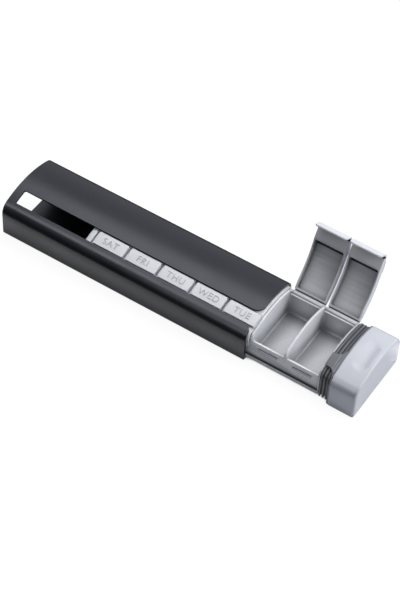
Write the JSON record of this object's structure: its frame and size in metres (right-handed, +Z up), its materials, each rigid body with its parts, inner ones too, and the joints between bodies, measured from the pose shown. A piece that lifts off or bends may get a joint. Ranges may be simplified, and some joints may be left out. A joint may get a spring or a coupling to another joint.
{
  "type": "weekly pill organizer",
  "caption": "Pocket pill organizer: a drawer of lidded day compartments slides in an arched sleeve with a slot window, and ends in a ribbed seal and a thumb cap.",
  "frame": {"origin": "middle of the sleeve's flat bottom", "axes": "+X along the drawer from the sleeve to the end cap, -Y to the side with the slot window, +Z up"},
  "size_m": [0.2688, 0.0813, 0.0658],
  "materials": {
    "sleeve_plastic": "satin",
    "tray_plastic": "satin",
    "lid_plastic": "satin",
    "cap_plastic": "satin",
    "seal_rubber": "matte",
    "pin_steel": "satin"
  },
  "bodies": {
    "sleeve": {"outer_sleeve": "sleeve_plastic"},
    "drawer": {"drawer_tray": "tray_plastic", "end_seal": "seal_rubber", "end_cap": "cap_plastic", "hinge_pin_sun": "pin_steel", "hinge_pin_mon": "pin_steel", "hinge_pin_tue": "pin_steel", "hinge_pin_wed": "pin_steel", "hinge_pin_thu": "pin_steel", "hinge_pin_fri": "pin_steel", "hinge_pin_sat": "pin_steel"},
    "lid_sun": {"lid_sun": "lid_plastic"},
    "lid_mon": {"lid_mon": "lid_plastic"},
    "lid_tue": {"lid_tue": "lid_plastic"},
    "lid_wed": {"lid_wed": "lid_plastic"},
    "lid_thu": {"lid_thu": "lid_plastic"},
    "lid_fri": {"lid_fri": "lid_plastic"},
    "lid_sat": {"lid_sat": "lid_plastic"}
  },
  "joints": [
    {"name": "drawer_slide", "type": "slide", "parent": "sleeve", "child": "drawer", "axis": [1, 0, 0], "range_m": [-0.003, 0.12]},
    {"name": "lid_sun_hinge", "type": "hinge", "parent": "drawer", "child": "lid_sun", "pos_m": [0.134, 0.02415, 0.0194], "axis": [-1, 0, 0], "range_deg": [-122, 0]},
    {"name": "lid_mon_hinge", "type": "hinge", "parent": "drawer", "child": "lid_mon", "pos_m": [0.109, 0.02415, 0.0194], "axis": [-1, 0, 0], "range_deg": [-122, 0]},
    {"name": "lid_tue_hinge", "type": "hinge", "parent": "drawer", "child": "lid_tue", "pos_m": [0.084, 0.02415, 0.0194], "axis": [-1, 0, 0], "range_deg": [0, 0.35]},
    {"name": "lid_wed_hinge", "type": "hinge", "parent": "drawer", "child": "lid_wed", "pos_m": [0.059, 0.02415, 0.0194], "axis": [-1, 0, 0], "range_deg": [0, 0.35]},
    {"name": "lid_thu_hinge", "type": "hinge", "parent": "drawer", "child": "lid_thu", "pos_m": [0.034, 0.02415, 0.0194], "axis": [-1, 0, 0], "range_deg": [0, 0.35]},
    {"name": "lid_fri_hinge", "type": "hinge", "parent": "drawer", "child": "lid_fri", "pos_m": [0.009, 0.02415, 0.0194], "axis": [-1, 0, 0], "range_deg": [0, 0.35]},
    {"name": "lid_sat_hinge", "type": "hinge", "parent": "drawer", "child": "lid_sat", "pos_m": [-0.016, 0.02415, 0.0194], "axis": [-1, 0, 0], "range_deg": [0, 0.35]}
  ]
}
